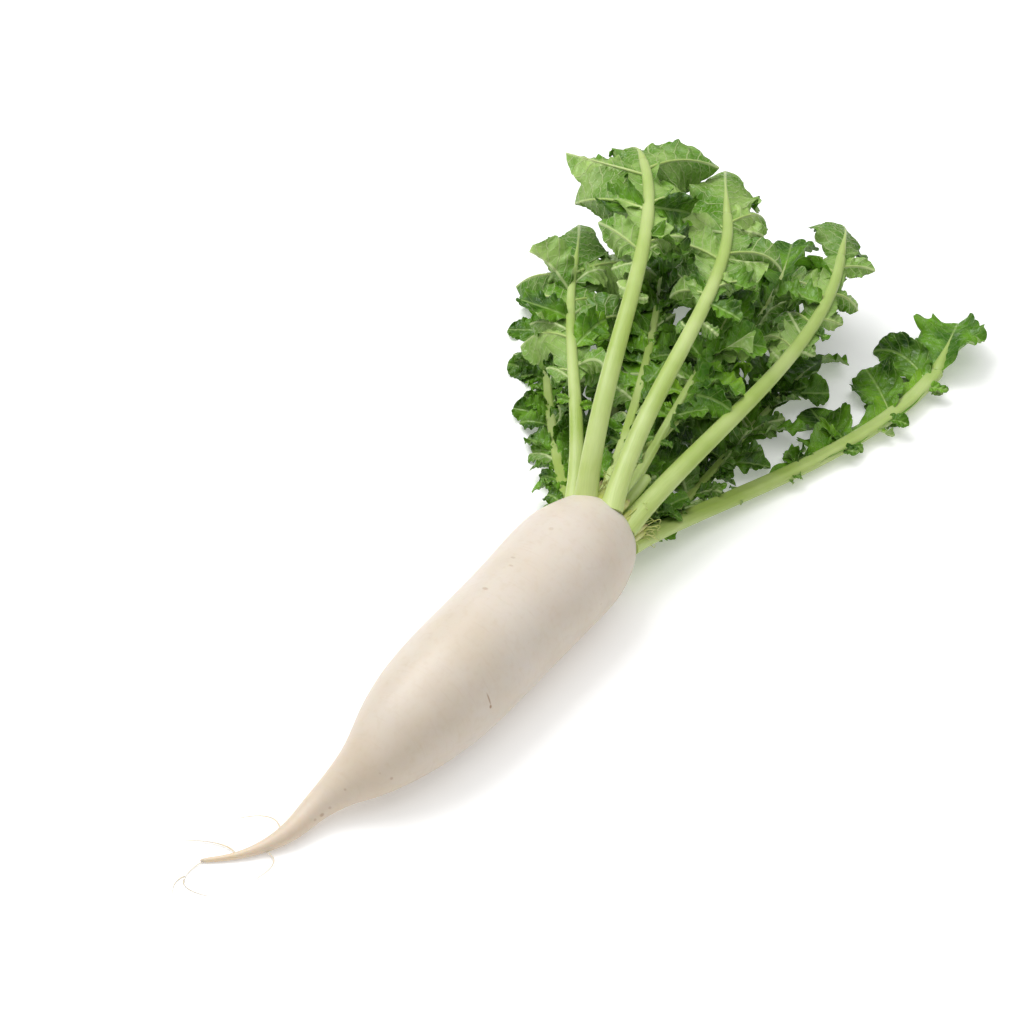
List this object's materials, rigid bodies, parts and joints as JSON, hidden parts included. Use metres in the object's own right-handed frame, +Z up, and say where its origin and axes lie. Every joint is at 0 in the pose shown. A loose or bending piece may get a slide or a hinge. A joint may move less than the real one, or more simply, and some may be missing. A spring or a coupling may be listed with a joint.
{
  "type": "daikon radish",
  "caption": "Long white daikon radish root lying on its side, with its tapering tail and rootlets and a spread rosette of lobed green leaves on pale stalks.",
  "frame": {"origin": "middle of the small flat under the root's belly, which it rests on", "axes": "+X from the tail to the leaves, +Y to the left seen from the tail, +Z up"},
  "size_m": [0.6626, 0.3074, 0.1437],
  "materials": {
    "root_skin": null,
    "stalk": null,
    "leaf": null
  },
  "bodies": {
    "root": {"root": "root_skin", "stub_stalk": "stalk", "heart_leaves": "leaf", "leaf_low_right": "leaf", "leaf_low_front": "leaf", "leaf_low_middle": "leaf", "leaf_low_back": "leaf", "leaf_low_left": "leaf", "leaf_middle": "leaf", "leaf_thin": "leaf", "leaf_arched_right": "leaf", "leaf_high_front": "leaf", "leaf_high_middle": "leaf", "leaf_high_back": "leaf", "leaf_high_left": "leaf"}
  },
  "joints": []
}
